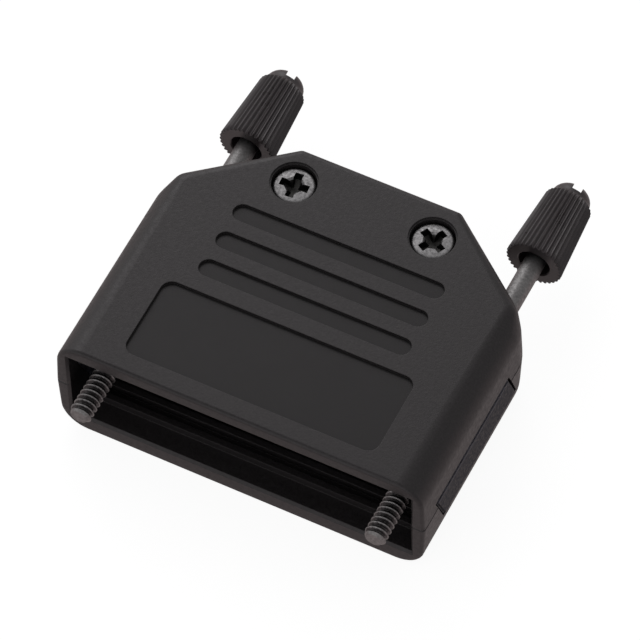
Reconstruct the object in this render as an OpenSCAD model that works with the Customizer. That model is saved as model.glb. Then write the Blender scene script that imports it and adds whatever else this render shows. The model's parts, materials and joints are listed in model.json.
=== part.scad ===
// Plastic hood for a 25-way D-sub connector: two moulded shells with captive thumbscrews.
// Frame: X across the connector, +Y from the mating face to the cable end, +Z up.
// The origin is midway between the two thumbscrews, in the plane of the mating face.
// The shells meet at z = 0.

/* [Body] */
// Distance between the two thumbscrew axes
screw_spacing = 47.04; // [46.5:0.01:47.5]
// Distance from a thumbscrew axis to the outside of the side wall
side_margin = 5.93; // [5.6:0.01:7]
// Length from the mating face to the flat cable end
body_l = 46.7; // [45:0.1:56]
// Height of the upper shell above the parting line
upper_h = 9.5; // [9.3:0.1:12]
// Depth of the lower shell below the parting line
lower_h = 10.2; // [9.3:0.1:12]
// Height of the inside above and below the parting line
cavity_h = 6.95; // [6.6:0.05:7.2]
// Thickness of the side and back walls
wall_t = 2.2; // [2:0.05:2.4]
// Width of the flat cable end between the sloped shoulders
back_w = 26.0; // [24:0.1:30]
// Angle of the sloped shoulders from the X axis
slope_angle = 37.7; // [34:0.1:40]
// Radius of the shoulders seen from above
shoulder_r = 6.5; // [5:0.1:9]
// Radius of the corners at the cable end seen from above
back_corner_r = 1.6; // [1.4:0.1:2.4]
// Rounding of the long outer edges
side_edge_r = 4.4; // [3:0.1:4.8]
// Rounding of the outer edges where the slopes begin
slope_edge_r = 2.2; // [1:0.1:3]
// Rounding of the outer edges at the cable end
back_edge_r = 1.2; // [0.6:0.1:1.4]
// Rounding of the outer edge of the mating face
front_edge_r = 0.6; // [0.2:0.1:0.8]
// Bevel of the inner edge of the mating face
mouth_bevel = 0.4; // [0.1:0.1:0.6]
// Draft of the outer walls in degrees
draft_angle = 2.5; // [0.5:0.1:3]
// Bevel of each shell along the parting line
seam_bevel = 0.2; // [0.1:0.05:0.3]

/* [Top face] */
// Width of the label recess
label_w = 40.1; // [30:0.1:42]
// Distance of the label recess from the mating face
label_y = 3.25; // [2:0.05:4]
// Corner radius of the label recess
label_r = 1.8; // [0.5:0.1:3]
// Depth of the label recess and of the grip grooves
recess_depth = 0.5; // [0.2:0.05:0.8]
// Number of grip grooves
groove_count = 3; // [2:1:3]
// Length of a grip groove with its round ends
groove_l = 33.8; // [20:0.1:38]
// Width of a grip groove
groove_w = 3.0; // [2:0.1:3.6]
// Spacing of the grip grooves
groove_pitch = 5.38; // [4.5:0.01:5.6]
// Distance from the label recess to the centre line of the first grip groove
groove_label_gap = 4.25; // [3:0.05:6]
// Distance from the centre line of the last grip groove to the case screws
groove_screw_gap = 8.12; // [6.5:0.01:10]

/* [Connector seat] */
// Distance of the connector flange slot from the mating face
slot_y = 4.6; // [4:0.1:5]
// Width of the slot that holds the connector flange
slot_w = 1.4; // [1.2:0.05:1.8]
// Thickness of the ribs in front of and behind the slot
slot_rib_t = 1.0; // [0.8:0.1:1.2]
// Height of the clear opening between the slot ribs
slot_opening_h = 11.3; // [11:0.1:11.8]

/* [Side strips] */
// Distance from the window's upper edge to the start of the shoulder
window_shoulder_gap = 3.0; // [2.6:0.1:8]
// Distance of the window from the mating face at its upper edge
window_y = 3.8; // [3.4:0.1:4.6]
// Upper edge of the window above the parting line
window_top = 1.9; // [1.2:0.1:2.4]
// Lower edge of the window below the parting line
window_bottom = 5.2; // [4:0.1:5.4]
// Lean of the window ends over its height
window_lean = 2.9; // [0:0.1:3.2]
// Gap between the strip's face and the long edges of its window
strip_gap = 0.3; // [0.2:0.05:1]
// Gap between the strip's face and the ends of its window
strip_end_gap = 0.3; // [0.2:0.05:1]
// Depth of the strip's face below the side wall at the parting line
strip_inset = 0.0; // [0:0.05:0.6]
// Thickness of the strip's flange behind the wall
strip_flange_t = 0.95; // [0.8:0.05:1]
// Overlap of the strip's flange behind the edges of the window
strip_lap = 0.9; // [0.5:0.1:1]
// Clearance of the flange in its rebate
strip_clearance = 0.05; // [0.03:0.01:0.1]
// Bevel round the strip's face
strip_bevel = 0.3; // [0.1:0.05:0.4]

/* [Thumbscrews] */
// Diameter over the threads
thread_d = 3.5; // [3.3:0.05:3.8]
// Difference between the diameters over the threads and of the plain shank
shank_step = 0.35; // [0.3:0.05:0.7]
// Length by which the threads stand out of the mating face
tip_reach = 4.2; // [3:0.1:5]
// Length of the threaded end
thread_l = 9.4; // [8:0.1:10]
// Length of the chamfer on the tip
tip_chamfer = 0.5; // [0.3:0.05:0.8]
// Distance from the cable end of the shells to the knob
knob_gap = 1.7; // [1.2:0.1:8]
// Travel towards the mating connector
travel_in = 2.0; // [1.5:0.1:2.4]
// Travel away from the mating connector
travel_out = 4.0; // [3:0.1:4.4]
// Radial clearance of the shank in its bearings
shank_clearance = 0.1; // [0.05:0.01:0.1]

/* [Knobs] */
// Diameter over the ribs at the base
knob_base_d = 9.0; // [8.4:0.1:9.6]
// Diameter over the ribs at the shoulder
knob_top_d = 7.4; // [6.9:0.1:8.2]
// Length of the ribbed part
knob_l = 12.0; // [10:0.1:14]
// Number of ribs
knob_ribs = 34; // [24:1:40]
// Depth of the grooves between the ribs
rib_depth = 0.28; // [0.15:0.01:0.35]
// Length of the shoulder between the ribs and the tip
knob_shoulder_l = 0.5; // [0.4:0.1:1]
// Diameter of the tip
tip_d = 6.1; // [5:0.1:6.3]
// Height of the domed tip
tip_h = 2.3; // [2.1:0.1:2.8]
// Width of the screwdriver slot
driver_slot_w = 1.5; // [0.8:0.1:1.6]
// Depth of the screwdriver slot
driver_slot_depth = 2.0; // [0.8:0.1:2.2]
// Turn of the screwdriver slot from upright
driver_slot_turn = 17; // [0:1:90]
// Diameter of the hollow round the shank
knob_hollow_d = 5.0; // [4.4:0.1:5.4]
// Depth of the hollow round the shank
knob_hollow_depth = 3.2; // [2:0.1:4]
// Length of the rod's grip in the knob
knob_grip_l = 6.5; // [5:0.1:7]

/* [Retaining clips] */
// Depth of the clip's groove in the rod
clip_groove_depth = 0.42; // [0.3:0.01:0.5]
// Thickness of a clip
clip_t = 0.6; // [0.5:0.05:0.8]
// Outer diameter of a clip
clip_d = 6.0; // [5:0.1:6.2]
// Clearance of a clip in its groove
clip_clearance = 0.05; // [0.03:0.01:0.1]

/* [Case screws] */
// Distance between the two case screws
case_screw_spacing = 22.36; // [21.5:0.02:23]
// Distance of the case screws from the cable end
case_screw_inset = 6.47; // [5.6:0.01:8]
// Diameter of the head
case_head_d = 6.3; // [5.8:0.1:6.6]
// Height of the head
case_head_h = 1.9; // [1.4:0.1:2.2]
// Depth of the head's top below the shell's face
case_head_inset = 0.7; // [0.3:0.1:1]
// Reach of the cross recess in the head
case_cross_d = 4.4; // [3.6:0.1:4.8]
// Depth of the cross recess
case_cross_depth = 1.3; // [0.8:0.1:1.5]
// Diameter of the thread-forming shank
case_shank_d = 3.0; // [2.6:0.1:3.2]
// Length of the shank
case_shank_l = 12.0; // [9:0.1:12.4]
// Gap between the head and its counterbore
case_head_gap = 0.45; // [0.2:0.05:0.6]
// Diameter of the moulded bosses
case_boss_d = 6.6; // [6:0.1:7]
// Wall round the counterbore
case_cup_t = 0.9; // [0.7:0.1:1.1]

/* [Cable exit and clamp] */
// Diameter of the cable exit
exit_d = 10.8; // [8:0.1:11.2]
// Gap between the clamp and the bosses of the case screws
clamp_boss_gap = 0.45; // [0.2:0.05:2]
// Length of the clamp along the cable
clamp_l = 8.0; // [7.6:0.1:8.4]
// Thickness of the clamp's ears
ear_t = 2.8; // [2:0.1:3]
// Thickness of the clamp's arch
arch_t = 0.9; // [0.7:0.05:1]
// Gap between the two clamp halves
clamp_gap = 0.8; // [0.4:0.1:1.2]
// Gap between the clamp's arch and its nuts
clamp_nut_gap = 0.6; // [0.3:0.05:1]
// Diameter of the clamp screws
clamp_screw_d = 3.0; // [2.6:0.1:3]
// Width of the clamp nuts across their flats
nut_w = 5.5; // [5:0.1:5.6]
// Height of the clamp nuts
nut_h = 2.4; // [1.8:0.1:2.6]

/* [Hidden] */

shell_color = [0.16, 0.16, 0.165];
strip_color = [0.12, 0.12, 0.13];
knob_color = [0.17, 0.165, 0.165];
steel_color = [0.58, 0.58, 0.57];
zinc_color = [0.72, 0.72, 0.70];

fine_fn = 64;             // facets of round features
hull_fn = 48;             // facets of the shell's corner posts
eps = 0.01;               // overshoot of cuts
screw_gap = 0.02;         // radial gap between a screw or rod and what grips it
through_gap = 0.2;        // radial gap of a screw in a through hole
stop_gap = 0.05;          // gap left at either end of a thumbscrew's travel

// Shells
screw_x = screw_spacing / 2;
half_w = screw_x + side_margin;
cavity_half_w = half_w - wall_t;
case_x = case_screw_spacing / 2;
case_screw_y = body_l - case_screw_inset;

// Top face
groove_y = case_screw_y - groove_screw_gap - (groove_count - 1) * groove_pitch;
label_l = groove_y - groove_label_gap - label_y;

// Thumbscrews and what carries them
shank_d = thread_d - shank_step;
clip_groove_d = shank_d - 2 * clip_groove_depth;
clip_slot_w = 2.0;        // mouth of a retaining clip
knob_y = body_l + knob_gap;
knob_bevel = 0.6;         // bevel of the knob's base
bearing_t = 2.0;          // thickness of the front bearing wall
guide_t = 1.2;            // thickness of the guide rib and the partitions
guide_gap = 6.0;          // distance of the guide rib behind the clip's travel
partition_gap = 0.45;     // clearance between a clip and its partition
thread_end_y = thread_l - tip_reach;
bearing_y = thread_end_y + travel_out + stop_gap;
clip_y = bearing_y + bearing_t + travel_in + stop_gap;
guide_y = clip_y + clip_t + travel_out + guide_gap;
partition_x = screw_x - clip_d / 2 - partition_gap - guide_t;

// Case screws
case_seat_z = upper_h - case_head_inset - case_head_h;
pilot_end = 0.7;          // depth of the pilot hole past the screw's end
case_seat_t = 1.6;        // thickness of the seat under the head
cross_arm_w = 1.1;        // width of an arm of a cross recess
case_rim_w = 0.2;         // width of the step round the counterbore
case_rim_h = 0.3;         // depth of that step

// Cable clamp
exit_r = exit_d / 2;
clamp_wall_gap = 0.15;    // clearance between the clamp's arch and the shells
arch_outer_r = cavity_h - clamp_wall_gap;
arch_r = arch_outer_r - arch_t;
ear_top_z = clamp_gap / 2 + ear_t;
nut_r = nut_w / 2 / cos(30);
clamp_x = sqrt(pow(arch_outer_r, 2) - pow(ear_top_z, 2)) + clamp_nut_gap + nut_r;
nut_margin = 0.1;         // reach of the ears past the nuts
clamp_half_w = clamp_x + nut_r + nut_margin;
clamp_y = case_screw_y - (case_boss_d + clamp_l) / 2 - clamp_boss_gap;
nut_side_gap = 0.05;      // clearance of a nut between the ribs beside it
clamp_rib_t = (clamp_l - nut_w) / 2 - nut_side_gap;
clamp_seat_gap = 0.05;    // clearance between the clamp and the ribs that carry it
clamp_head_d = 5.5;       // diameter of a clamp screw's head
clamp_head_h = 2.0;       // height of that head

// Pegs that line the shells up
peg_r = 1.0;
peg_h = 1.6;
peg_boss_r = 1.9;         // radius of a peg's boss
peg_boss_gap = 0.4;       // gap between that boss and its neighbours
peg_clearance = 0.08;     // clearance round a peg
peg_end_gap = 0.3;        // clearance at a peg's end
peg_x = partition_x - peg_boss_r - peg_boss_gap;
peg_y = clamp_y - clamp_l / 2 - peg_boss_r - peg_boss_gap;

// Side strips
strip_face_x = half_w - strip_inset;
flange_x = cavity_half_w + strip_clearance;

// Centre of a vertical corner post of radius r that touches the side and the slope
function shoulder_center(r) = [
  half_w - r,
  body_l - (r + sin(slope_angle) * (half_w - r - back_w / 2)) / cos(slope_angle)
];

window_l = shoulder_center(shoulder_r)[1] - window_shoulder_gap - window_y;

// Centre of a vertical corner post of radius r that touches the slope and the back
function back_center(r) = [back_w / 2 - r * (1 - cos(slope_angle)) / sin(slope_angle), body_l - r];

// Y of the slope's outer face at a distance x from the middle, moved inwards by d
function slope_y(x, d = 0) = body_l - (d + sin(slope_angle) * (x - back_w / 2)) / cos(slope_angle);

// Half outline of a corner post: bevel at the parting line, drafted wall and rounded top
function post_profile(h, r, edge, base = 0) = let (
  top = h - edge,
  wall_r = function(z) r - tan(draft_angle) * z,
  steps = 9
) concat(
  [[0, base], [r - seam_bevel, base], [wall_r(seam_bevel), seam_bevel]],
  [for (i = [0 : steps]) let (a = 90 * i / steps)
    [max(0, wall_r(top) - edge + edge * cos(a)), top + edge * sin(a)]],
  [[0, h]]
);

module both_sides() {
  children();
  mirror([1, 0, 0]) children();
}

module corner_post(h, center, r, edge) {
  translate([center[0], center[1], 0])
    rotate_extrude($fn = hull_fn) polygon(post_profile(h, r, edge));
}

// Slices at the mating face that round its outer edge and bevel its parting line
module front_slices(h) {
  steps = 4;
  slice_y = function(i) front_edge_r * (1 - cos(90 * i / steps));
  r = side_edge_r + 0.6;
  for (i = [0 : steps]) {
    y = slice_y(i);
    t = i < steps ? slice_y(i + 1) - y : 1;
    inset = front_edge_r * (1 - sin(90 * i / steps));
    translate([half_w - r, y + t, 0]) rotate([90, 0, 0]) linear_extrude(t)
      polygon(post_profile(h - inset, r - inset, side_edge_r - inset, max(0, seam_bevel - y)));
  }
}

// Outside of one shell of height h, standing on the parting line
module shell_outside(h) {
  slope_r = slope_edge_r + 0.8;
  shoulder = shoulder_center(shoulder_r);
  slope_start = shoulder + (shoulder_r - slope_r) * [sin(slope_angle), cos(slope_angle)];
  hull() both_sides() {
    front_slices(h);
    corner_post(h, shoulder, shoulder_r, side_edge_r);
    corner_post(h, slope_start, slope_r, slope_edge_r);
    corner_post(h, back_center(back_corner_r), back_corner_r, back_edge_r);
  }
}

// Plan of the space inside the shells
module cavity_plan() {
  r = shoulder_r - wall_t;
  c = shoulder_center(shoulder_r);
  back_y = body_l - wall_t;
  back_x = back_w / 2 - wall_t * (1 - cos(slope_angle)) / sin(slope_angle);
  tangent = [c[0] + r * sin(slope_angle), c[1] + r * cos(slope_angle)];
  both_sides() {
    polygon([[-eps, -1], [cavity_half_w, -1], [c[0] + r, c[1]], tangent, [back_x, back_y], [-eps, back_y]]);
    translate(c) circle(r = r, $fn = fine_fn);
  }
}

// Tapered cut that bevels the inner edge of the mating face
module mouth_lead_in() {
  w = 2 * cavity_half_w;
  h = 2 * cavity_h;
  grow = 2 * (mouth_bevel + eps);
  translate([0, -eps, 0]) rotate([-90, 0, 0])
    linear_extrude(mouth_bevel + eps, scale = [w / (w + grow), h / (h + grow)])
      square([w + grow, h + grow], center = true);
}

module rounded_rect(w, l, r) {
  square([w - 2 * r, l], center = true);
  square([w, l - 2 * r], center = true);
  for (x = [-1, 1], y = [-1, 1])
    translate([x * (w / 2 - r), y * (l / 2 - r)]) circle(r = r, $fn = fine_fn);
}

module round_slot(l, w) {
  square([l - w, w], center = true);
  for (x = [-1, 1]) translate([x * (l - w) / 2, 0]) circle(d = w, $fn = fine_fn);
}

// Round bar along Y
module y_bar(x, y0, y1, r) {
  translate([x, y0, 0]) rotate([-90, 0, 0]) cylinder(h = y1 - y0, r = r, $fn = fine_fn);
}

// Plan of a side window in the Y-Z plane, with its edges and ends moved outwards
module window_outline(edges = 0, ends = 0) {
  lean = window_lean / (window_top + window_bottom);
  polygon([for (p = [[0, 1], [1, 1], [1, 0], [0, 0]]) let (
    z = p[1] == 1 ? window_top + edges : -window_bottom - edges,
    y = window_y + (p[0] == 1 ? window_l + ends : -ends)
  ) [y + lean * (window_top - z), z]]);
}

// Stands a Y-Z outline up between two X positions on the right side
module side_plate(x0, x1) {
  translate([x0, 0, 0]) rotate([90, 0, 90]) linear_extrude(x1 - x0) children();
}

// Everything that is cut from a side wall for a strip
module side_window() {
  side_plate(cavity_half_w - eps, half_w + 1) window_outline();
  side_plate(cavity_half_w - eps, flange_x + strip_flange_t + strip_clearance)
    window_outline(strip_lap + strip_clearance, strip_lap + strip_clearance);
}

// A rib across the clamp's ears on one side, up to the height of the ears
module clamp_ribs() {
  for (s = [-1, 1])
    translate([arch_outer_r + 0.5, clamp_y + s * (clamp_l - clamp_rib_t) / 2 - clamp_rib_t / 2,
               ear_top_z + clamp_seat_gap])
      cube([clamp_half_w - arch_outer_r + 0.5, clamp_rib_t, cavity_h - ear_top_z]);
}

// Inner walls that both shells have, drawn for the upper one
module shell_ribs() {
  rib_x = cavity_half_w - 0.25;
  for (y = [slot_y - slot_rib_t, slot_y + slot_w])
    translate([-rib_x, y, slot_opening_h / 2])
      cube([2 * rib_x, slot_rib_t, cavity_h - slot_opening_h / 2 + eps]);
  both_sides() {
    translate([partition_x, bearing_y, 0]) cube([rib_x - partition_x, bearing_t, cavity_h + eps]);
    translate([partition_x, guide_y, 0]) cube([rib_x - partition_x, guide_t, cavity_h + eps]);
    translate([partition_x, bearing_y, 0])
      cube([guide_t, slope_y(partition_x + guide_t, wall_t / 2) - bearing_y, cavity_h + eps]);
    translate([case_x, case_screw_y, 0]) cylinder(h = cavity_h + eps, d = case_boss_d, $fn = fine_fn);
    translate([peg_x, peg_y, 0]) cylinder(h = cavity_h + eps, r = peg_boss_r, $fn = fine_fn);
    clamp_ribs();
  }
}

// One shell of height h with its ribs and the cuts that both shells share, drawn upright
module shell_blank(h) {
  difference() {
    union() {
      difference() {
        shell_outside(h);
        translate([0, 0, -1]) linear_extrude(cavity_h + 1) cavity_plan();
      }
      shell_ribs();
    }
    mouth_lead_in();
    y_bar(0, body_l - wall_t - 1, body_l + 1, exit_r);
    both_sides() y_bar(screw_x, bearing_y - 1, body_l, shank_d / 2 + shank_clearance);
  }
}

module upper_shell() {
  counterbore_r = case_head_d / 2 + case_head_gap;
  color(shell_color) difference() {
    union() {
      shell_blank(upper_h);
      both_sides() translate([case_x, case_screw_y, case_seat_z - case_seat_t])
        cylinder(h = cavity_h - case_seat_z + case_seat_t + eps, r = counterbore_r + case_cup_t,
                 $fn = fine_fn);
    }
    both_sides() {
      side_window();
      translate([case_x, case_screw_y, -1])
        cylinder(h = upper_h, r = case_shank_d / 2 + through_gap, $fn = fine_fn);
      translate([case_x, case_screw_y, case_seat_z])
        cylinder(h = upper_h, r = counterbore_r - case_rim_w, $fn = fine_fn);
      translate([case_x, case_screw_y, upper_h - case_rim_h])
        cylinder(h = upper_h, r = counterbore_r, $fn = fine_fn);
      translate([peg_x, peg_y, -1])
        cylinder(h = 1 + peg_h + peg_end_gap, r = peg_r + peg_clearance, $fn = fine_fn);
    }
    translate([0, label_y + label_l / 2, upper_h - recess_depth])
      linear_extrude(1) rounded_rect(label_w, label_l, label_r);
    for (i = [0 : groove_count - 1])
      translate([0, groove_y + i * groove_pitch, upper_h - recess_depth])
        linear_extrude(1) round_slot(groove_l, groove_w);
  }
}

module lower_shell() {
  color(shell_color) {
    difference() {
      mirror([0, 0, 1]) shell_blank(lower_h);
      both_sides() {
        side_window();
        translate([case_x, case_screw_y, case_seat_z - case_shank_l - pilot_end])
          cylinder(h = case_shank_l, r = case_shank_d / 2 + screw_gap, $fn = fine_fn);
      }
    }
    both_sides() translate([peg_x, peg_y, -1])
      cylinder(h = 1 + peg_h, r = peg_r, $fn = fine_fn);
  }
}

// Strip that closes a side window: a flange behind the wall and a raised face
module side_strip() {
  face_t = strip_face_x - flange_x - strip_flange_t;
  color(strip_color) {
    side_plate(flange_x, flange_x + strip_flange_t) window_outline(strip_lap, strip_lap);
    side_plate(flange_x, strip_face_x - strip_bevel) window_outline(-strip_gap, -strip_end_gap);
    if (face_t > strip_bevel)
      side_plate(flange_x, strip_face_x)
        window_outline(-strip_gap - strip_bevel, -strip_end_gap - strip_bevel);
  }
}

// Steel rod: threaded end, plain shank and clip groove
module jackscrew() {
  rod_end = knob_y + knob_hollow_depth + knob_grip_l;
  groove_w = clip_t + 2 * clip_clearance;
  thread_r = thread_d / 2;
  shank_r = shank_d / 2;
  groove_r = clip_groove_d / 2;
  color(steel_color) translate([screw_x, 0, 0]) rotate([-90, 0, 0])
    rotate_extrude($fn = fine_fn) polygon([
      [0, -tip_reach],
      [thread_r - tip_chamfer, -tip_reach],
      [thread_r, tip_chamfer - tip_reach],
      [thread_r, thread_end_y],
      [shank_r, thread_end_y],
      [shank_r, clip_y],
      [groove_r, clip_y],
      [groove_r, clip_y + groove_w],
      [shank_r, clip_y + groove_w],
      [shank_r, rod_end],
      [0, rod_end]
    ]);
}

// Outline of the knob's ribs at radius r
function rib_outline(r) = [
  for (i = [0 : knob_ribs - 1], k = [0 : 3]) let (
    a = 360 / knob_ribs * (i + [0, 0.3, 0.5, 0.8][k]),
    d = k < 2 ? r : r - rib_depth
  ) [d * cos(a), d * sin(a)]
];

// Moulded knob: ribbed cone, shoulder, domed tip with a screwdriver slot, hollow base
module knob(slot_turn) {
  base_r = knob_base_d / 2;
  top_r = knob_top_d / 2;
  tip_r = tip_d / 2;
  shoulder_y0 = knob_l + knob_shoulder_l;
  end_y = shoulder_y0 + tip_h;
  grip_end = knob_hollow_depth + knob_grip_l + screw_gap;
  dome_steps = 6;
  color(knob_color) translate([screw_x, knob_y, 0]) rotate([-90, 0, 0]) difference() {
    union() {
      intersection() {
        linear_extrude(knob_l, scale = top_r / base_r) polygon(rib_outline(base_r));
        cylinder(h = knob_l, r1 = base_r - knob_bevel, r2 = base_r - knob_bevel + 2 * knob_l, $fn = fine_fn);
      }
      translate([0, 0, knob_l - eps])
        cylinder(h = knob_shoulder_l + eps, r1 = top_r - rib_depth, r2 = tip_r + 0.1, $fn = fine_fn);
      rotate_extrude($fn = fine_fn) polygon(concat(
        [[0, knob_l]],
        [for (i = [0 : dome_steps]) let (a = 60 * i / dome_steps)
          [tip_r * cos(a), shoulder_y0 + tip_h * sin(a) / sin(60)]],
        [[0, end_y]]
      ));
    }
    translate([0, 0, -eps]) cylinder(h = knob_hollow_depth + eps, d = knob_hollow_d, $fn = fine_fn);
    cylinder(h = grip_end, r = shank_d / 2 + screw_gap, $fn = fine_fn);
    rotate(slot_turn) translate([-driver_slot_w / 2, -tip_d, end_y - driver_slot_depth])
      cube([driver_slot_w, 2 * tip_d, driver_slot_depth + 1]);
  }
}

// Open ring that snaps into the rod's groove
module retaining_clip() {
  inner_r = clip_groove_d / 2 + clip_clearance;
  color(steel_color) translate([screw_x, clip_y + clip_clearance, 0]) rotate([-90, 0, 0])
    linear_extrude(clip_t) difference() {
      circle(d = clip_d, $fn = fine_fn);
      circle(r = inner_r, $fn = fine_fn);
      translate([-clip_slot_w / 2, 0]) square([clip_slot_w, clip_d]);
      for (a = [-30, 210]) rotate(a) translate([clip_d / 2 - 1.1, 0]) circle(d = 1.2, $fn = 24);
    }
}

// Cross recess of a screw head whose top is at z = 0
module cross_recess(reach, depth, turn) {
  for (a = [turn, turn + 90]) rotate(a)
    translate([-reach / 2, -cross_arm_w / 2, -depth]) cube([reach, cross_arm_w, depth + 1]);
}

// Low domed screw head on z = 0
module pan_head(d, h) {
  rim = h * 0.55;
  rotate_extrude($fn = fine_fn) polygon(concat(
    [[0, 0], [d / 2, 0], [d / 2, rim]],
    [for (i = [1 : 6]) let (a = 15 * i) [d / 2 - 0.9 + 0.9 * cos(a), rim + (h - rim) * sin(a)]],
    [[0, h]]
  ));
}

module case_screw(turn) {
  shank_r = case_shank_d / 2;
  color(zinc_color) translate([case_x, case_screw_y, case_seat_z]) {
    difference() {
      pan_head(case_head_d, case_head_h);
      translate([0, 0, case_head_h]) cross_recess(case_cross_d, case_cross_depth, turn);
    }
    translate([0, 0, 0.5 - case_shank_l]) cylinder(h = case_shank_l - 0.5 + eps, r = shank_r, $fn = fine_fn);
    translate([0, 0, -case_shank_l]) cylinder(h = 0.5, r1 = shank_r - 0.5, r2 = shank_r, $fn = fine_fn);
  }
}

// Upper half of the cable clamp: an arch between two ears, with ribs that bite the cable
module cable_clamp() {
  rib_r = arch_r - 0.4;
  color(zinc_color) difference() {
    translate([0, clamp_y + clamp_l / 2, 0]) rotate([90, 0, 0]) linear_extrude(clamp_l) intersection() {
      union() {
        translate([-clamp_half_w, 0]) square([2 * clamp_half_w, ear_top_z]);
        circle(r = arch_outer_r, $fn = fine_fn);
      }
      translate([-clamp_half_w, clamp_gap / 2]) square([2 * clamp_half_w, arch_outer_r]);
    }
    y_bar(0, clamp_y - clamp_l, clamp_y + clamp_l, rib_r);
    for (i = [-1 : 1]) y_bar(0, clamp_y + i * 2.6 - 0.8, clamp_y + i * 2.6 + 0.8, arch_r);
    for (s = [-1, 1]) translate([s * clamp_x, clamp_y, 0])
      cylinder(h = ear_top_z + 1, r = clamp_screw_d / 2 + through_gap, $fn = fine_fn);
  }
}

module clamp_screw() {
  shank_l = 2 * ear_top_z + nut_h + 0.2;
  color(zinc_color) translate([clamp_x, clamp_y, ear_top_z]) {
    difference() {
      pan_head(clamp_head_d, clamp_head_h);
      translate([0, 0, clamp_head_h]) cross_recess(3.2, 1.2, 45);
    }
    translate([0, 0, -shank_l]) cylinder(h = shank_l + eps, d = clamp_screw_d, $fn = fine_fn);
  }
}

module clamp_nut() {
  color(steel_color) translate([clamp_x, clamp_y, -ear_top_z - nut_h]) difference() {
    cylinder(h = nut_h, r = nut_r, $fn = 6);
    translate([0, 0, -1]) cylinder(h = nut_h + 2, r = clamp_screw_d / 2 + screw_gap, $fn = fine_fn);
  }
}

module on_left() {
  mirror([1, 0, 0]) children();
}

upper_shell();
lower_shell();
on_left() side_strip();  // left_side_strip
side_strip();  // right_side_strip
on_left() jackscrew();  // left_jackscrew
jackscrew();  // right_jackscrew
on_left() knob(-driver_slot_turn);  // left_knob
knob(driver_slot_turn);  // right_knob
on_left() retaining_clip();  // left_retaining_clip
retaining_clip();  // right_retaining_clip
on_left() case_screw(4);  // left_case_screw
case_screw(42);  // right_case_screw
cable_clamp();  // upper_cable_clamp
mirror([0, 0, 1]) cable_clamp();  // lower_cable_clamp
on_left() clamp_screw();  // left_clamp_screw
clamp_screw();  // right_clamp_screw
on_left() clamp_nut();  // left_clamp_nut
clamp_nut();  // right_clamp_nut
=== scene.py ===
"""Looks of the D-sub hood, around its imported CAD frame. All lengths are in metres."""

import json
import math

import bmesh
import bpy
from mathutils import Matrix, Vector

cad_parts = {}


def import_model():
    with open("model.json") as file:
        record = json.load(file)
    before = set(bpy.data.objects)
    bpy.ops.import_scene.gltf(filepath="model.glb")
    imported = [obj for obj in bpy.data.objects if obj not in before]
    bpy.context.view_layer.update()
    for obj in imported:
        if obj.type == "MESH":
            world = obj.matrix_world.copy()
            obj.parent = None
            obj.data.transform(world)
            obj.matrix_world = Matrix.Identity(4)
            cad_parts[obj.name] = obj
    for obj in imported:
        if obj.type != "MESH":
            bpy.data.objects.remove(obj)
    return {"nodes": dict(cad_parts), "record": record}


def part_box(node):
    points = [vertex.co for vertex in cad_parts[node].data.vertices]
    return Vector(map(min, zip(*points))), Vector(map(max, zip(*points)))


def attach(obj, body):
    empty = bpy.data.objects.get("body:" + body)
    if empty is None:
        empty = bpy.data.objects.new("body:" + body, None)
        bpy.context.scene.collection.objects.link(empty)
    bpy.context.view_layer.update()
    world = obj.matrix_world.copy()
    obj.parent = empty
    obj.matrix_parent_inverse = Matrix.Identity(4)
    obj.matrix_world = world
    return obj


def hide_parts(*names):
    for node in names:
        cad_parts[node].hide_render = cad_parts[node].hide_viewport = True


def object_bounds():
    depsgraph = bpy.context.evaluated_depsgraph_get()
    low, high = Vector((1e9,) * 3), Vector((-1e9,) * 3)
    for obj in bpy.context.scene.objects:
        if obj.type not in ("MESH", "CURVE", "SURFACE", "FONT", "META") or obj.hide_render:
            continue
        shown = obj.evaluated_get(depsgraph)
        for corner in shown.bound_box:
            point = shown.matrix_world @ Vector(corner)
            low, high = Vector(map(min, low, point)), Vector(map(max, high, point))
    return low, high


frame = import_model()
cad_low, cad_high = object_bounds()

MM = 0.001
SIDES = ("left", "right")

# CAD vertices closer than this are merged when a mesh is copied
MERGE_DISTANCE = 0.001 * MM

# Angles between faces up to which their shared edge is shaded smooth
SMOOTH = math.radians(35)
SMOOTH_SHELL = math.radians(25)
SMOOTH_STRIP = math.radians(30)
SMOOTH_KNOB = math.radians(38)

# Threads: shares of the pitch; what is left of it is the flat crest
THREAD_ROOT_FLAT = 0.2
THREAD_FLANKS = 0.68

# Thumbscrew rods
THREAD_PITCH = 0.93 * MM
THREAD_DEPTH = 0.46 * MM
THREAD_LENGTH = 9.4 * MM
# Thread faces deeper than this below the crest get painted shade
THREAD_SHADE_DEPTH = 0.14 * MM
SHANK_RADIUS = 1.575 * MM
TIP_CHAMFER = 0.5 * MM
CLIP_GROOVE_RADIUS = 1.15 * MM
CLIP_CLEARANCE = 0.05 * MM

# Knobs
KNOB_RIBS = 34
KNOB_RIB_DEPTH = 0.36 * MM
KNOB_RIB_SHARPNESS = 1.5
KNOB_RIBBED_LENGTH = 12.0 * MM
KNOB_TOP_RADIUS = 3.7 * MM
KNOB_TIP_RADIUS = 3.05 * MM
KNOB_SHOULDER_LENGTH = 0.5 * MM
KNOB_HOLLOW_RADIUS = 2.5 * MM
KNOB_HOLLOW_DEPTH = 3.2 * MM
DRIVER_SLOT_WIDTH = 1.5 * MM
DRIVER_SLOT_DEPTH = 2.0 * MM
DRIVER_SLOT_TURN = math.radians(17)

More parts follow.
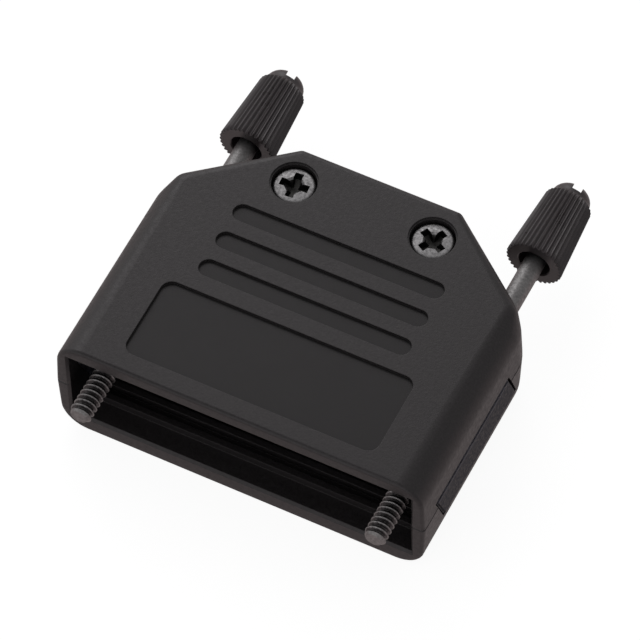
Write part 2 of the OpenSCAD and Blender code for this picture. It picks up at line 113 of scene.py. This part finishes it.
# Case screws
CASE_HEAD_HEIGHT = 1.9 * MM
CASE_HEAD_ROUNDING = 0.45 * MM
CASE_HEAD_DOME = 0.12 * MM
CASE_SHANK_RADIUS = 1.5 * MM
CASE_THREAD_PITCH = 1.1 * MM
CASE_THREAD_DEPTH = 0.3 * MM
CASE_TIP_TAPER = 0.5 * MM
CASE_CROSS_DEPTH = 1.6 * MM
CASE_CROSS_REACH = 2.2 * MM
CASE_CROSS_ARM = 1.25 * MM
CASE_CROSS_WORN_DEPTH = 0.3 * MM
CASE_CROSS_TURN = {"left": math.radians(4), "right": math.radians(62)}

# Upper shell: its polished floors face up, this far below the top
RECESS_DEPTH = 0.5 * MM
RECESS_TOLERANCE = 0.02 * MM
RECESS_FACES_UP = 0.99

# Side strips: heights between which the face turns into a painted highlight along its upper edge
STRIP_HIGHLIGHT_LOW = 0.6 * MM
STRIP_HIGHLIGHT_HIGH = 0.85 * MM

# Light tent: its own strength, and patches of (direction, cosine at the edge, change)
TENT_LIGHT = 0.40
TENT_PATCHES = {
    "open side": ((-0.80, 0.50, 0.35), 0.3, 0.35),
    "white wall in front": ((-0.25, -0.96, 0.10), 0.5, 0.55),
    "gap round the camera": ((-0.25, -0.45, 0.86), 0.72, -0.14),
}

# Floor: its gap below the object, half its width, and how bright it is seen and mirrored
FLOOR_GAP = 0.05 * MM
FLOOR_REACH = 3.0
FLOOR_SEEN = 0.91
FLOOR_MIRRORED = 0.43

# Colours of the lights, of what the floor mirrors, and of the plastics' sheen
WHITE = (1.0, 1.0, 1.0, 1.0)
WARM_BOUNCE = (1.0, 0.86, 0.85, 1.0)
WARM_SHEEN = (1.0, 0.95, 0.97, 1.0)

# Sockets of a colour mix node: its two inputs and its result
MIX_FIRST = 6
MIX_SECOND = 7
MIX_RESULT = 2


# ---------------------------------------------------------------- meshes


def ring(radius_at, y, count):
    """Points round the Y axis at height y; radius_at gives the radius at each angle."""
    points = []
    for i in range(count):
        angle = 2 * math.pi * i / count
        r = radius_at(angle)
        points.append(Vector((r * math.cos(angle), y, r * math.sin(angle))))
    return points


def skin(rings):
    """Closed mesh through rings of equal count, capped at both ends."""
    bm = bmesh.new()
    rows = [[bm.verts.new(p) for p in points] for points in rings]
    count = len(rows[0])
    for low, high in zip(rows, rows[1:]):
        for i in range(count):
            j = (i + 1) % count
            bm.faces.new((low[i], high[i], high[j], low[j]))
    bm.faces.new(rows[0])
    bm.faces.new(list(reversed(rows[-1])))
    bmesh.ops.recalc_face_normals(bm, faces=bm.faces)
    return bm


def place(bm, matrix):
    """Moves the mesh by the matrix and returns it."""
    bmesh.ops.transform(bm, matrix=matrix, verts=bm.verts)
    return bm


def cad_copy(node):
    """Mesh of a CAD node, with its doubled vertices merged."""
    bm = bmesh.new()
    bm.from_mesh(frame["nodes"][node].data)
    bmesh.ops.remove_doubles(bm, verts=bm.verts, dist=MERGE_DISTANCE)
    return bm


def shade(mesh, smooth_angle):
    """Smooth shading, but for edges sharper than the angle."""
    for face in mesh.polygons:
        face.use_smooth = True
    mesh.set_sharp_from_angle(angle=smooth_angle)


def make_object(name, bm, smooth_angle=SMOOTH):
    """Scene object from the mesh, without the custom normals of a CAD copy."""
    mesh = bpy.data.meshes.new(name)
    bm.to_mesh(mesh)
    bm.free()
    stored = mesh.attributes.get("custom_normal")
    if stored:
        mesh.attributes.remove(stored)
    shade(mesh, smooth_angle)
    piece = bpy.data.objects.new(name, mesh)
    bpy.context.scene.collection.objects.link(piece)
    return piece


def flat_faces_first(piece):
    """Shades by the larger faces, so that flat ones stay flat next to a rounding."""
    modifier = piece.modifiers.new("flat_faces", "WEIGHTED_NORMAL")
    modifier.mode = "FACE_AREA"
    modifier.weight = 90
    modifier.keep_sharp = True


def cut(piece, cutter, smooth_angle=SMOOTH):
    """Takes the cutter's shape out of the piece, for good."""
    modifier = piece.modifiers.new("cut", "BOOLEAN")
    modifier.operation = "DIFFERENCE"
    modifier.solver = "EXACT"
    modifier.object = cutter
    evaluated = piece.evaluated_get(bpy.context.evaluated_depsgraph_get())
    result = bpy.data.meshes.new_from_object(evaluated)
    piece.modifiers.clear()
    piece.data = result
    shade(result, smooth_angle)
    bpy.data.objects.remove(cutter)


def body_of(node):
    """Name of the body that a CAD node belongs to."""
    for body, members in frame["record"]["behaviour"]["bodies"].items():
        if node in members:
            return body
    raise ValueError(node)


def dress(piece, node, material):
    """The piece stands for a CAD node: it takes the node's body, a finish and a slot."""
    piece.data.materials.clear()
    piece.data.materials.append(material)
    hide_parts(node)
    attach(piece, body_of(node))


def second_finish(piece, material, chosen):
    """Gives a second material to the faces for which chosen(face) is true."""
    piece.data.materials.append(material)
    for face in piece.data.polygons:
        if chosen(face):
            face.material_index = 1


def thread_radius(crest, depth, pitch, angle, y):
    """V thread along a helix, with narrow flats at its crests and roots."""
    phase = (y / pitch + angle / (2 * math.pi)) % 1.0
    rise = (abs(2 * phase - 1) - THREAD_ROOT_FLAT) / THREAD_FLANKS
    return crest - depth * (1 - min(1.0, max(0.0, rise)))


def rod_mesh(low, high, crest, groove_low, groove_high):
    """Steel rod along Y: threaded end, plain shank and groove for the clip."""
    rows_per_pitch = 20
    points_round = 56
    thread_end = low + THREAD_LENGTH
    run_out = THREAD_PITCH

    def threaded(y):
        def radius(angle):
            r = thread_radius(crest, THREAD_DEPTH, THREAD_PITCH, angle, y)
            fade = min(1.0, max(0.0, (thread_end - y) / run_out))
            r = SHANK_RADIUS + (r - SHANK_RADIUS) * fade
            return min(r, crest - TIP_CHAMFER + (y - low))
        return ring(radius, y, points_round)

    def plain(y, r):
        return ring(lambda angle: r, y, points_round)

    rows = int(THREAD_LENGTH / THREAD_PITCH * rows_per_pitch)
    rings = [threaded(low + THREAD_LENGTH * i / rows) for i in range(rows + 1)]
    rings += [
        plain(groove_low, SHANK_RADIUS),
        plain(groove_low, CLIP_GROOVE_RADIUS),
        plain(groove_high, CLIP_GROOVE_RADIUS),
        plain(groove_high, SHANK_RADIUS),
        plain(high, SHANK_RADIUS),
    ]
    return skin(rings)


def knob_mesh(base_radius, length, rod_radius, rod_depth):
    """Knob along +Y from y = 0: hollow base, ribs, shoulder and domed tip."""
    points_per_rib = 8
    count = KNOB_RIBS * points_per_rib
    ribbed = KNOB_RIBBED_LENGTH
    dome_start = ribbed + KNOB_SHOULDER_LENGTH
    base_bevel = 0.18 * MM
    top_bevel = 0.3 * MM
    hollow_bevel = 0.15 * MM
    shoulder_bevel = 0.12 * MM
    base_rim = base_radius - base_bevel

    def ribs(y, crest, depth):
        def radius(angle):
            wave = 0.5 + 0.5 * math.cos(angle * KNOB_RIBS)
            return crest - depth * (1 - wave ** KNOB_RIB_SHARPNESS)
        return ring(radius, y, count)

    def plain(y, r):
        return ring(lambda angle: r, y, count)

    rings = [
        plain(rod_depth, rod_radius),
        plain(KNOB_HOLLOW_DEPTH, rod_radius),
        plain(KNOB_HOLLOW_DEPTH, KNOB_HOLLOW_RADIUS),
        plain(hollow_bevel, KNOB_HOLLOW_RADIUS),
        plain(0, KNOB_HOLLOW_RADIUS + hollow_bevel),
        plain(0, base_rim - KNOB_RIB_DEPTH - 0.1 * MM),
        ribs(0, base_rim, KNOB_RIB_DEPTH),
        ribs(base_bevel, base_radius, KNOB_RIB_DEPTH),
    ]
    steps = 12
    for i in range(1, steps + 1):
        y = base_bevel + (ribbed - top_bevel - base_bevel) * i / steps
        crest = base_radius + (KNOB_TOP_RADIUS - base_radius) * y / ribbed
        rings.append(ribs(y, crest, KNOB_RIB_DEPTH))
    rings += [
        ribs(ribbed - 0.1 * MM, KNOB_TOP_RADIUS - 0.12 * MM, KNOB_RIB_DEPTH * 0.8),
        ribs(ribbed, KNOB_TOP_RADIUS - top_bevel, KNOB_RIB_DEPTH * 0.2),
        plain(ribbed + shoulder_bevel, KNOB_TIP_RADIUS + shoulder_bevel),
        plain(dome_start - shoulder_bevel, KNOB_TIP_RADIUS + 0.04 * MM),
    ]
    dome_steps = 9
    sweep = math.radians(84)
    for i in range(dome_steps + 1):
        a = sweep * i / dome_steps
        y = dome_start + (length - dome_start) * math.sin(a) / math.sin(sweep)
        rings.append(plain(y, KNOB_TIP_RADIUS * math.cos(a)))
    return skin(rings)


def slot_cutter(width, reach, depth, top):
    """Box for a screwdriver slot that runs along Z, sunk from y = top."""
    bm = bmesh.new()
    bmesh.ops.create_cube(bm, size=1)
    scale = Matrix.Diagonal((width, 2 * depth, 2 * reach, 1))
    return place(bm, Matrix.Translation((0, top, 0)) @ scale)


def cross_outline(reach, arm, fillet):
    """Corners of a cross in the X-Y plane, with its inner corners cut off by the fillet."""
    half = arm / 2
    quarter = [(reach, -half), (reach, half), (half + fillet, half), (half, half + fillet)]
    points = []
    for k in range(4):
        c = round(math.cos(k * math.pi / 2))
        s = round(math.sin(k * math.pi / 2))
        points += [(x * c - y * s, x * s + y * c) for x, y in quarter]
    return points


def cross_cutter(top):
    """Steep cross recess below z = top; its inner corners slope in like a worn one's."""
    depth = CASE_CROSS_DEPTH
    reach = CASE_CROSS_REACH
    arm = CASE_CROSS_ARM
    worn = CASE_CROSS_WORN_DEPTH
    # Height, reach of the arms, width of the arms, size of the inner corners
    levels = [
        (top + worn, reach + 0.05 * MM, arm + 0.05 * MM, 1.30 * MM),
        (top - worn, reach, arm, 0.40 * MM),
        (top - 0.75 * depth, reach - 0.35 * MM, arm - 0.15 * MM, 0.20 * MM),
        (top - depth, 0.62 * MM, 0.70 * MM, 0.12 * MM),
    ]
    rings = []
    for z, arm_reach, arm_width, fillet in levels:
        outline = cross_outline(arm_reach, arm_width, fillet)
        rings.append([Vector((x, y, z)) for x, y in outline])
    return skin(rings)


def case_screw_mesh(head_radius, head_top, head_low, end):
    """Case screw along Z: low head with a rounded rim, thread-forming shank below it."""
    points_round = 64
    rows_per_pitch = 10
    rounding_steps = 6
    rounding = CASE_HEAD_ROUNDING
    rim = head_top - rounding * 1.1
    rim_top = head_top - CASE_HEAD_DOME
    under_bevel = 0.1 * MM

    def level(z, radius_at):
        points = []
        for i in range(points_round):
            angle = 2 * math.pi * i / points_round
            r = radius_at(angle)
            points.append(Vector((r * math.cos(angle), r * math.sin(angle), z)))
        return points

    def plain(z, r):
        return level(z, lambda angle: r)

    def threaded(z):
        def radius(angle):
            crest = CASE_SHANK_RADIUS
            r = thread_radius(crest, CASE_THREAD_DEPTH, CASE_THREAD_PITCH, -angle, z)
            return min(r, crest - CASE_TIP_TAPER + (z - end))
        return level(z, radius)

    rings = []
    for share in (0.25, 0.5, 0.75):
        r = (head_radius - rounding) * share
        rings.append(plain(head_top - CASE_HEAD_DOME * share ** 2, r))
    for i in range(rounding_steps + 1):
        a = math.radians(90 - 90 * i / rounding_steps)
        r = head_radius - rounding + rounding * math.cos(a)
        rings.append(plain(rim + (rim_top - rim) * math.sin(a), r))
    rings.append(plain(head_low + under_bevel, head_radius))
    rings.append(plain(head_low, head_radius - under_bevel))
    rows = int((head_low - end) / CASE_THREAD_PITCH * rows_per_pitch)
    for i in range(rows + 1):
        rings.append(threaded(head_low - (head_low - end) * i / rows))
    return skin(rings)


# ---------------------------------------------------------------- materials


class Shader:
    """A Principled material with short calls for the nodes used here.

    Its base colour and roughness are plain values, which a link can take over.
    """

    def __init__(self, name, base, roughness, metallic=0.0):
        self.material = bpy.data.materials.new(name)
        self.material.use_nodes = True
        self.tree = self.material.node_tree
        self.bsdf = self.tree.nodes["Principled BSDF"]
        self.bsdf.inputs["Base Color"].default_value = (*base, 1)
        self.bsdf.inputs["Roughness"].default_value = roughness
        self.bsdf.inputs["Metallic"].default_value = metallic
        self.position = self.node("ShaderNodeTexCoord").outputs["Object"]

    def node(self, kind, **values):
        """New node with the given settings."""
        made = self.tree.nodes.new(kind)
        for name, value in values.items():
            setattr(made, name, value)
        return made

    def link(self, source, target):
        self.tree.links.new(source, target)

    def noise(self, size, detail=3.0):
        """Noise whose blobs measure about size."""
        made = self.node("ShaderNodeTexNoise")
        made.inputs["Scale"].default_value = 1 / size
        made.inputs["Detail"].default_value = detail
        self.link(self.position, made.inputs["Vector"])
        return made.outputs["Fac"]

    def ramp(self, value, low_stop, high_stop):
        """Maps a value through two stops of (position, grey or colour)."""
        made = self.node("ShaderNodeValToRGB")
        elements = made.color_ramp.elements
        for element, (position, colour) in zip(elements, (low_stop, high_stop)):
            element.position = position
            if isinstance(colour, float):
                colour = (colour, colour, colour)
            element.color = (*colour, 1)
        self.link(value, made.inputs["Fac"])
        return made.outputs["Color"]

    def mix(self, factor, first, second):
        """First colour where the factor is 0, second where it is 1."""
        made = self.node("ShaderNodeMix", data_type="RGBA")
        self.link(factor, made.inputs["Factor"])
        self.link(first, made.inputs[MIX_FIRST])
        self.link(second, made.inputs[MIX_SECOND])
        return made.outputs[MIX_RESULT]

    def above(self, low, high):
        """0 below the height low and 1 above high, in the piece's own frame."""
        parts = self.node("ShaderNodeSeparateXYZ")
        self.link(self.position, parts.inputs[0])
        share = self.node("ShaderNodeMapRange")
        share.inputs["From Min"].default_value = low
        share.inputs["From Max"].default_value = high
        self.link(parts.outputs["Z"], share.inputs["Value"])
        return share.outputs["Result"]

    def colour(self, source):
        self.link(source, self.bsdf.inputs["Base Color"])

    def roughness(self, source):
        self.link(source, self.bsdf.inputs["Roughness"])

    def bumps(self, layers, edge=0.0):
        """Stacks bump layers of (height, strength, distance); edge is a radius for corners."""
        normal = None
        if edge:
            bevel = self.node("ShaderNodeBevel", samples=6)
            bevel.inputs["Radius"].default_value = edge
            normal = bevel.outputs["Normal"]
        for height, strength, distance in layers:
            made = self.node("ShaderNodeBump")
            made.inputs["Strength"].default_value = strength
            made.inputs["Distance"].default_value = distance
            self.link(height, made.inputs["Height"])
            if normal:
                self.link(normal, made.inputs["Normal"])
            normal = made.outputs["Normal"]
        self.link(normal, self.bsdf.inputs["Normal"])


def shell_material():
    """Black moulding with a fine matte grain."""
    s = Shader("shell_plastic", (0.011, 0.010, 0.0102), 0.42)
    s.bsdf.inputs["Specular Tint"].default_value = WARM_SHEEN
    cloud = s.noise(9 * MM, 2.0)
    grain = s.noise(0.3 * MM, 3.0)
    s.colour(s.ramp(grain, (0.3, (0.0095, 0.0083, 0.0087)), (0.7, (0.0200, 0.0176, 0.0184))))
    s.roughness(s.ramp(s.noise(0.6 * MM), (0.3, 0.36), (0.7, 0.50)))
    s.bumps([(cloud, 0.12, 0.05 * MM), (grain, 0.5, 0.04 * MM)], edge=0.14 * MM)
    return s.material


def recess_material():
    """The same plastic where the tool is polished: label recess and groove floors."""
    s = Shader("shell_smooth_plastic", (0.0085, 0.0078, 0.0081), 0.38)
    s.bsdf.inputs["Specular Tint"].default_value = WARM_SHEEN
    s.bsdf.inputs["Specular IOR Level"].default_value = 0.36
    cloud = s.noise(7 * MM, 2.0)
    s.colour(s.ramp(cloud, (0.3, (0.0080, 0.0074, 0.0077)), (0.7, (0.0095, 0.0088, 0.0091))))
    s.roughness(s.ramp(s.noise(1.2 * MM), (0.3, 0.35), (0.7, 0.41)))
    s.bumps([(s.noise(0.3 * MM), 0.08, 0.01 * MM)])
    return s.material


def strip_material():
    """Soft dark inlay with a mottled, slightly blue face, and a painted highlight along its upper
    edge.
    """
    s = Shader("strip_plastic", (0.016, 0.0155, 0.019), 0.62)
    mottle = s.noise(0.5 * MM, 4.0)
    face = s.ramp(mottle, (0.38, (0.006, 0.006, 0.009)), (0.62, (0.042, 0.0415, 0.053)))
    # The lighter edge colour below is a painted highlight along the strip's upper bevel
    edge = s.ramp(mottle, (0.38, (0.050, 0.047, 0.058)), (0.62, (0.110, 0.104, 0.124)))
    s.colour(s.mix(s.above(STRIP_HIGHLIGHT_LOW, STRIP_HIGHLIGHT_HIGH), face, edge))
    s.roughness(s.ramp(mottle, (0.35, 0.45), (0.65, 0.80)))
    s.bsdf.inputs["Specular IOR Level"].default_value = 0.3
    s.bumps([(mottle, 0.9, 0.06 * MM)], edge=0.08 * MM)
    return s.material


def knob_material():
    """Black moulding, a little lighter and glossier than the shells."""
    s = Shader("knob_plastic", (0.016, 0.0145, 0.0147), 0.38)
    s.bsdf.inputs["Specular Tint"].default_value = WARM_SHEEN
    cloud = s.noise(2.5 * MM, 3.0)
    s.colour(s.ramp(cloud, (0.3, (0.0310, 0.0255, 0.0265)), (0.7, (0.046, 0.0385, 0.040))))
    s.roughness(s.ramp(cloud, (0.3, 0.26), (0.7, 0.40)))
    s.bumps([(s.noise(0.25 * MM), 0.3, 0.02 * MM)], edge=0.06 * MM)
    return s.material


def steel_material(name, dark, light, roughness, size):
    """Dull plated steel: cloudy tone with clouds of that size, and fine scuffs."""
    s = Shader(name, light, roughness, metallic=1.0)
    cloud = s.noise(size, 4.0)
    s.colour(s.ramp(cloud, (0.28, dark), (0.72, light)))
    s.roughness(s.ramp(cloud, (0.3, roughness + 0.1), (0.7, roughness - 0.06)))
    s.bumps([(s.noise(0.15 * MM), 0.2, 0.01 * MM)], edge=0.05 * MM)
    return s.material


def stage_material():
    """Pale floor: white for the camera, weaker and warm in reflections, with a soft shadow."""
    s = Shader("floor", (0.2, 0.2, 0.2), 1.0)
    s.bsdf.inputs["Specular IOR Level"].default_value = 0.0
    path = s.node("ShaderNodeLightPath")
    mirrored = s.node("ShaderNodeMath", operation="MULTIPLY")
    mirrored.inputs[1].default_value = FLOOR_MIRRORED
    s.link(path.outputs["Is Glossy Ray"], mirrored.inputs[0])
    seen = s.node("ShaderNodeMath", operation="MULTIPLY_ADD")
    seen.inputs[1].default_value = FLOOR_SEEN
    s.link(path.outputs["Is Camera Ray"], seen.inputs[0])
    s.link(mirrored.outputs[0], seen.inputs[2])
    tint = s.node("ShaderNodeMix", data_type="RGBA")
    tint.inputs[MIX_FIRST].default_value = WHITE
    tint.inputs[MIX_SECOND].default_value = WARM_BOUNCE
    s.link(path.outputs["Is Glossy Ray"], tint.inputs["Factor"])
    s.link(tint.outputs[MIX_RESULT], s.bsdf.inputs["Emission Color"])
    s.link(seen.outputs[0], s.bsdf.inputs["Emission Strength"])
    return s.material


# ---------------------------------------------------------------- pieces


def shells(plain, smooth):
    """Copies of the CAD shells with smooth shading, and polished floors in the upper one."""
    for node in ("upper_shell", "lower_shell"):
        piece = make_object(node + "_moulding", cad_copy(node), SMOOTH_SHELL)
        flat_faces_first(piece)
        dress(piece, node, plain)
        if node == "upper_shell":
            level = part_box(node)[1].z - RECESS_DEPTH

            def polished(face):
                on_level = abs(face.center.z - level) < RECESS_TOLERANCE
                return on_level and face.normal.z > RECESS_FACES_UP

            second_finish(piece, smooth, polished)


def thumbscrews(knob_finish, rod_finish, root_painted_shade):
    """Threaded rods with painted shade in their thread roots, and ribbed knobs with a driver slot.
    """
    for side in SIDES:
        rod, knob, clip = side + "_jackscrew", side + "_knob", side + "_retaining_clip"
        rod_low, rod_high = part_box(rod)
        knob_low, knob_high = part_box(knob)
        clip_low, clip_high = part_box(clip)
        x = (rod_low.x + rod_high.x) / 2
        crest = (rod_high.x - rod_low.x) / 2
        thread_low = rod_low.y + TIP_CHAMFER
        thread_high = rod_low.y + THREAD_LENGTH - THREAD_PITCH

        # Faces deep in the thread get a dark steel: painted shade in the roots
        def in_root(face):
            out = math.hypot(face.center.x - x, face.center.z)
            return thread_low < face.center.y < thread_high and out < crest - THREAD_SHADE_DEPTH

        bm = rod_mesh(
            rod_low.y, rod_high.y, crest,
            clip_low.y - CLIP_CLEARANCE, clip_high.y + CLIP_CLEARANCE,
        )
        piece = make_object(rod + "_threaded", place(bm, Matrix.Translation((x, 0, 0))))
        dress(piece, rod, rod_finish)
        second_finish(piece, root_painted_shade, in_root)

        length = knob_high.y - knob_low.y
        base_radius = (knob_high.x - knob_low.x) / 2
        seat = Matrix.Translation((x, knob_low.y, 0))
        bm = knob_mesh(base_radius, length, SHANK_RADIUS, rod_high.y - knob_low.y)
        piece = make_object(knob + "_ribbed", place(bm, seat), SMOOTH_KNOB)
        bm = slot_cutter(DRIVER_SLOT_WIDTH, KNOB_TIP_RADIUS + 1 * MM, DRIVER_SLOT_DEPTH, length)
        turned = seat @ Matrix.Rotation(DRIVER_SLOT_TURN, 4, "Y")
        cut(piece, make_object("slot", place(bm, turned)), SMOOTH_KNOB)
        dress(piece, knob, knob_finish)


def case_screws(finish, recess_painted_shade):
    """Case screws with a cross recess, which has painted shade below its worn edge."""
    for side in SIDES:
        node = side + "_case_screw"
        low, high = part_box(node)
        x = (low.x + high.x) / 2
        y = (low.y + high.y) / 2
        centre = Matrix.Translation((x, y, 0))

        # Faces deep in the cross get a near-black steel: painted shade
        def in_recess(face):
            out = math.hypot(face.center.x - x, face.center.y - y)
            depth = high.z - face.center.z
            deep = CASE_CROSS_WORN_DEPTH < depth < CASE_CROSS_DEPTH + 0.05 * MM
            return deep and out < CASE_CROSS_REACH

        bm = case_screw_mesh((high.x - low.x) / 2, high.z, high.z - CASE_HEAD_HEIGHT, low.z)
        piece = make_object(node + "_cross", place(bm, centre))
        turn = Matrix.Rotation(CASE_CROSS_TURN[side], 4, "Z")
        cutter = place(cross_cutter(high.z), centre @ turn)
        cut(piece, make_object("cross", cutter))
        dress(piece, node, finish)
        second_finish(piece, recess_painted_shade, in_recess)


def strips(finish):
    """Copies of the CAD strips with smooth shading."""
    for side in SIDES:
        node = side + "_side_strip"
        piece = make_object(node + "_inlay", cad_copy(node), SMOOTH_STRIP)
        dress(piece, node, finish)


def inner_hardware(clamp_finish, screw_finish, clip_finish):
    """CAD nodes that keep their own mesh and take a plated finish."""
    finishes = {"upper_cable_clamp": clamp_finish, "lower_cable_clamp": clamp_finish}
    for side in SIDES:
        finishes[side + "_clamp_screw"] = screw_finish
        finishes[side + "_clamp_nut"] = screw_finish
        finishes[side + "_retaining_clip"] = clip_finish
    for node, finish in finishes.items():
        mesh = frame["nodes"][node].data
        mesh.materials.clear()
        mesh.materials.append(finish)


# ---------------------------------------------------------------- stage


def floor(level):
    """Wide flat floor at the height level."""
    bm = bmesh.new()
    bmesh.ops.create_grid(bm, x_segments=1, y_segments=1, size=FLOOR_REACH)
    piece = make_object("floor", place(bm, Matrix.Translation((0, 0, level))))
    piece.data.materials.append(stage_material())


def world():
    """Light tent with brighter and darker patches, white for the camera."""
    made = bpy.data.worlds.new("studio")
    bpy.context.scene.world = made
    made.use_nodes = True
    tree = made.node_tree
    tree.nodes.clear()
    direction = tree.nodes.new("ShaderNodeTexCoord").outputs["Generated"]
    light = tree.nodes.new("ShaderNodeBackground")
    light.inputs["Color"].default_value = WHITE
    strength = None
    for towards, edge, change in TENT_PATCHES.values():
        facing = tree.nodes.new("ShaderNodeVectorMath")
        facing.operation = "DOT_PRODUCT"
        facing.inputs[1].default_value = Vector(towards).normalized()
        patch = tree.nodes.new("ShaderNodeMapRange")
        patch.interpolation_type = "SMOOTHSTEP"
        patch.inputs["From Min"].default_value = edge
        patch.inputs["To Max"].default_value = change
        total = tree.nodes.new("ShaderNodeMath")
        total.operation = "ADD"
        total.inputs[0].default_value = TENT_LIGHT
        tree.links.new(direction, facing.inputs[0])
        tree.links.new(facing.outputs["Value"], patch.inputs["Value"])
        if strength:
            tree.links.new(strength, total.inputs[0])
        tree.links.new(patch.outputs["Result"], total.inputs[1])
        strength = total.outputs[0]
    white = tree.nodes.new("ShaderNodeBackground")
    white.inputs["Color"].default_value = WHITE
    path = tree.nodes.new("ShaderNodeLightPath")
    mix = tree.nodes.new("ShaderNodeMixShader")
    output = tree.nodes.new("ShaderNodeOutputWorld")
    tree.links.new(strength, light.inputs["Strength"])
    tree.links.new(path.outputs["Is Camera Ray"], mix.inputs["Fac"])
    tree.links.new(light.outputs[0], mix.inputs[1])
    tree.links.new(white.outputs[0], mix.inputs[2])
    tree.links.new(mix.outputs[0], output.inputs["Surface"])


def lamp(name, place_at, aim, size, power):
    """Square area light at place_at, turned towards aim; power is in watts."""
    data = bpy.data.lights.new(name, "AREA")
    data.shape = "SQUARE"
    data.size = size
    data.energy = power
    piece = bpy.data.objects.new(name, data)
    bpy.context.scene.collection.objects.link(piece)
    piece.location = place_at
    piece.rotation_mode = "QUATERNION"
    piece.rotation_quaternion = (Vector(aim) - Vector(place_at)).to_track_quat("-Z", "Y")


def camera(aim, azimuth, elevation, distance, roll, lens):
    """Camera that looks at aim from azimuth (0 is the mating side) and elevation, in degrees."""
    a, e = math.radians(azimuth), math.radians(elevation)
    back = Vector((math.sin(a) * math.cos(e), -math.cos(a) * math.cos(e), math.sin(e)))
    data = bpy.data.cameras.new("camera")
    data.sensor_width = 36
    data.lens = lens
    data.clip_start = 0.01
    data.clip_end = 20
    piece = bpy.data.objects.new("camera", data)
    bpy.context.scene.collection.objects.link(piece)
    turn = (-back).to_track_quat("-Z", "Y").to_matrix().to_4x4()
    tilt = Matrix.Rotation(math.radians(-roll), 4, "Z")
    piece.matrix_world = Matrix.Translation(Vector(aim) + back * distance) @ turn @ tilt
    bpy.context.scene.camera = piece


bpy.context.scene.view_settings.view_transform = "Standard"
camera(
    aim=(0, 25.94 * MM, 0), azimuth=28.02, elevation=55.92,
    distance=825.6 * MM, roll=1.66, lens=320.9,
)
world()
floor(cad_low.z - FLOOR_GAP)
lamp("softbox", place_at=(-0.30, 0.42, 0.35), aim=(0, 0.02, 0), size=0.4, power=0.62)

shells(shell_material(), recess_material())
strips(strip_material())
thumbscrews(
    knob_material(),
    steel_material("rod_steel", (0.19, 0.183, 0.183), (0.29, 0.28, 0.28), 0.46, 0.4 * MM),
    # Dark steel for the thread roots: painted shade
    steel_material("rod_thread_root_painted_shade", (0.036, 0.033, 0.034), (0.11, 0.102, 0.104), 0.42, 0.4 * MM),
)
case_screws(
    steel_material("case_screw_steel", (0.17, 0.164, 0.167), (0.34, 0.33, 0.335), 0.42, 0.4 * MM),
    # Near-black steel inside the cross recess: painted shade
    steel_material("case_screw_recess_painted_shade", (0.015, 0.014, 0.014), (0.06, 0.058, 0.056), 0.40, 0.9 * MM),
)
inner_hardware(
    steel_material("clamp_steel", (0.32, 0.32, 0.31), (0.5, 0.5, 0.48), 0.35, 2.5 * MM),
    steel_material("clamp_screw_steel", (0.3, 0.3, 0.29), (0.46, 0.46, 0.44), 0.38, 1.2 * MM),
    steel_material("clip_steel", (0.25, 0.25, 0.25), (0.42, 0.42, 0.42), 0.3, 1.0 * MM),
)
